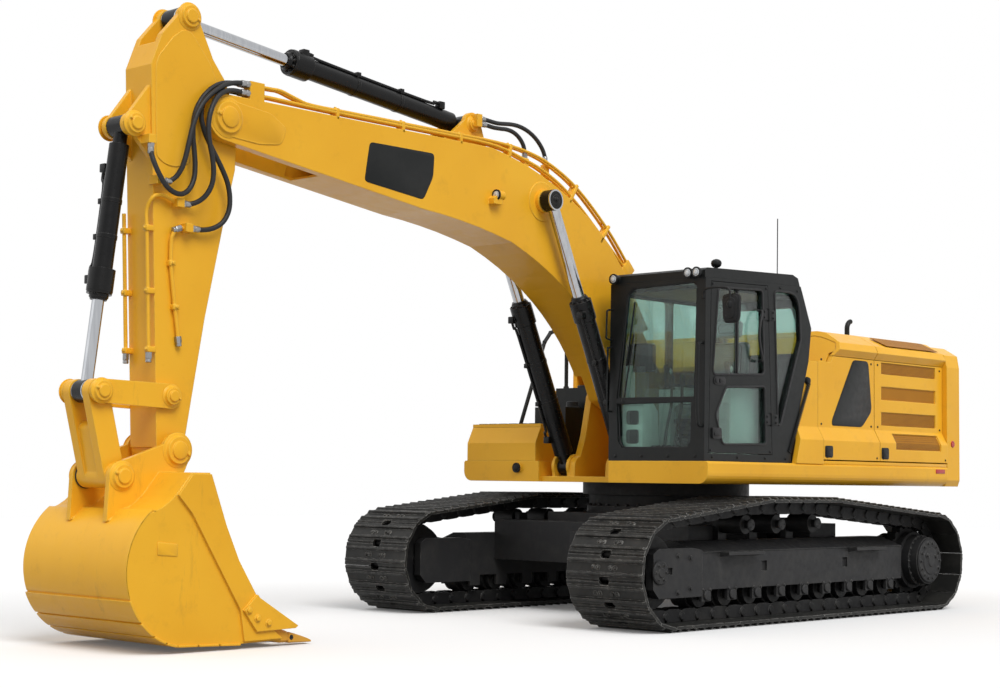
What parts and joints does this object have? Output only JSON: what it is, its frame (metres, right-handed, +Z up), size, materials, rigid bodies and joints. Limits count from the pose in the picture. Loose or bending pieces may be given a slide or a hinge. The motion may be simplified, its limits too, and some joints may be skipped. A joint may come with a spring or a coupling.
{
  "type": "crawler excavator",
  "caption": "Crawler excavator with a revolving house, glazed cab, curved boom, stick, curling bucket, hydraulic cylinders, opening doors and covers, and wide steel tracks.",
  "frame": {"origin": "on the ground under the swing axis, midway between the tracks", "axes": "+X forward, the way the boom and the cab face at rest; +Y to the machine's left, the cab side; +Z up"},
  "size_m": [9.4791, 3.505, 4.4568],
  "materials": {
    "body_paint": "semi-gloss golden yellow paint",
    "tooth_steel": "dark cast steel, worn at the tips",
    "undercarriage_paint": "satin dark grey paint",
    "track_steel": "dark forged steel",
    "roller_steel": "dark cast steel",
    "ring_steel": "black steel",
    "engine_iron": "bare cast iron",
    "black_trim": "black powder coat",
    "cab_paint": "satin black paint",
    "tinted_glass": "green tinted glass",
    "seat_cloth": "dark woven seat cloth",
    "console_plastic": "grained dark plastic",
    "cylinder_paint": "gloss black paint",
    "rod_chrome": "polished chrome",
    "hose_rubber": "matt black hose rubber"
  },
  "bodies": {
    "undercarriage": {"car_body": "undercarriage_paint", "track_frame_left": "undercarriage_paint", "track_frame_right": "undercarriage_paint", "track_left": "track_steel", "track_right": "track_steel", "idler_wheels": "roller_steel", "sprockets": "roller_steel", "final_drives": "undercarriage_paint", "bottom_rollers": "roller_steel", "carrier_rollers": "roller_steel", "swing_ring_lower": "ring_steel"},
    "house": {"swing_ring_upper": "ring_steel", "main_frame": "body_paint", "left_deck": "body_paint", "right_deck": "body_paint", "counterweight": "body_paint", "engine_block": "engine_iron", "left_front_panel": "body_paint", "right_front_panel": "body_paint", "hood_front": "body_paint", "hydraulic_tank": "body_paint", "fuel_tank": "black_trim", "toolbox": "body_paint", "handrails": "black_trim", "cab_frame": "cab_paint", "cab_roof": "cab_paint", "cab_glass": "tinted_glass", "seat": "seat_cloth", "consoles": "console_plastic", "mirror_left": "black_trim"},
    "engine_hood": {"engine_hood": "body_paint", "exhaust_pipe": "black_trim"},
    "left_front_door": {"left_front_door": "body_paint"},
    "left_rear_door": {"left_rear_door": "body_paint"},
    "right_rear_door": {"right_rear_door": "body_paint"},
    "toolbox_lid": {"toolbox_lid": "body_paint"},
    "cab_door": {"cab_door": "cab_paint", "cab_door_glass": "tinted_glass"},
    "boom": {"boom": "body_paint", "nose_hose_1": "hose_rubber", "nose_hose_2": "hose_rubber", "nose_hose_3": "hose_rubber", "nose_hose_4": "hose_rubber", "cylinder_hose_1": "hose_rubber", "cylinder_hose_2": "hose_rubber"},
    "boom_barrels": {"boom_cylinder_barrels": "cylinder_paint"},
    "boom_rods": {"boom_cylinder_rods": "rod_chrome"},
    "stick": {"stick": "body_paint"},
    "stick_barrel": {"stick_cylinder_barrel": "cylinder_paint"},
    "stick_rod": {"stick_cylinder_rod": "rod_chrome"},
    "bucket": {"bucket": "body_paint", "bucket_teeth": "tooth_steel"},
    "bucket_barrel": {"bucket_cylinder_barrel": "cylinder_paint"},
    "bucket_rod": {"bucket_cylinder_rod": "rod_chrome"},
    "idler_links": {"idler_links": "body_paint"},
    "power_link": {"power_link": "body_paint"}
  },
  "joints": [
    {"name": "house_swing", "type": "hinge", "parent": "undercarriage", "child": "house", "pos_m": [0, 0, 1.04], "axis": [0, 0, 1], "continuous": true},
    {"name": "boom_lift", "type": "hinge", "parent": "house", "child": "boom", "pos_m": [0.3, 0, 1.8], "axis": [0, -1, 0], "range_deg": [-50, 42]},
    {"name": "boom_barrel_tilt", "type": "hinge", "parent": "house", "child": "boom_barrels", "pos_m": [0.98, 0, 1.285], "axis": [0, -1, 0], "range_deg": [-47.63, 40.04]},
    {"name": "boom_rod_slide", "type": "slide", "parent": "boom_barrels", "child": "boom_rods", "axis": [0.4225, 0, 0.9064], "range_m": [-0.6882, 0.5784]},
    {"name": "stick_swing", "type": "hinge", "parent": "boom", "child": "stick", "pos_m": [5.33732, 0, 3.68939], "axis": [0, 1, 0], "range_deg": [-65, 50], "deforming": ["nose_hose_1", "nose_hose_2", "nose_hose_3", "nose_hose_4"]},
    {"name": "stick_barrel_tilt", "type": "hinge", "parent": "boom", "child": "stick_barrel", "pos_m": [2.75057, 0, 4.05099], "axis": [0, 1, 0], "range_deg": [-6.23, 4.84]},
    {"name": "stick_rod_slide", "type": "slide", "parent": "stick_barrel", "child": "stick_rod", "axis": [0.9938, 0, 0.1111], "range_m": [-0.7154, 0.5508]},
    {"name": "bucket_curl", "type": "hinge", "parent": "stick", "child": "bucket", "pos_m": [5.69527, 0, 1.33646], "axis": [0, -1, 0], "range_deg": [-85, 55]},
    {"name": "bucket_barrel_tilt", "type": "hinge", "parent": "stick", "child": "bucket_barrel", "pos_m": [6.05845, 0, 3.55027], "axis": [0, -1, 0], "range_deg": [-4.29, 2.85]},
    {"name": "bucket_rod_slide", "type": "slide", "parent": "bucket_barrel", "child": "bucket_rod", "axis": [0.1241, 0, -0.9923], "range_m": [-0.3976, 0.6134]},
    {"name": "idler_link_turn", "type": "hinge", "parent": "stick", "child": "idler_links", "pos_m": [5.7212, 0, 1.70455], "axis": [0, -1, 0], "range_deg": [-68.59, 44.45]},
    {"name": "power_link_turn", "type": "hinge", "parent": "bucket", "child": "power_link", "pos_m": [6.14227, 0, 1.15646], "axis": [0, -1, 0], "range_deg": [-32.54, 50.17]},
    {"name": "cab_door_swing", "type": "hinge", "parent": "house", "child": "cab_door", "pos_m": [0.402, 1.456, 1.405], "axis": [0.0489, 0, 0.9988], "range_deg": [0, 150]},
    {"name": "left_front_door_swing", "type": "hinge", "parent": "house", "child": "left_front_door", "pos_m": [-1.261, 1.495, 1.8], "axis": [0, 0, 1], "range_deg": [0, 95]},
    {"name": "left_rear_door_swing", "type": "hinge", "parent": "house", "child": "left_rear_door", "pos_m": [-2.496, 1.495, 1.8], "axis": [0, 0, 1], "range_deg": [0, 95]},
    {"name": "right_rear_door_swing", "type": "hinge", "parent": "house", "child": "right_rear_door", "pos_m": [-2.496, -1.495, 1.8], "axis": [0, 0, -1], "range_deg": [0, 95]},
    {"name": "engine_hood_lift", "type": "hinge", "parent": "house", "child": "engine_hood", "pos_m": [-1.88, -1.478, 2.3], "axis": [1, 0, 0], "range_deg": [0, 50]},
    {"name": "toolbox_lid_lift", "type": "hinge", "parent": "house", "child": "toolbox_lid", "pos_m": [0.722, -1.045, 1.675], "axis": [0, -1, 0], "range_deg": [0, 85]}
  ],
  "couplings": [
    {"joint": "boom_barrel_tilt", "follows": "boom_lift", "ratio": 0.9486},
    {"joint": "boom_rod_slide", "follows": "boom_lift", "m_per_rad": 0.7863},
    {"joint": "stick_barrel_tilt", "follows": "stick_swing", "ratio": 0.0927},
    {"joint": "stick_rod_slide", "follows": "stick_swing", "m_per_rad": 0.6289},
    {"joint": "idler_link_turn", "follows": "bucket_curl", "ratio": 0.8046},
    {"joint": "power_link_turn", "follows": "bucket_curl", "ratio": -0.5879},
    {"joint": "bucket_barrel_tilt", "follows": "bucket_curl", "ratio": 0.0481},
    {"joint": "bucket_rod_slide", "follows": "bucket_curl", "m_per_rad": -0.4121}
  ]
}
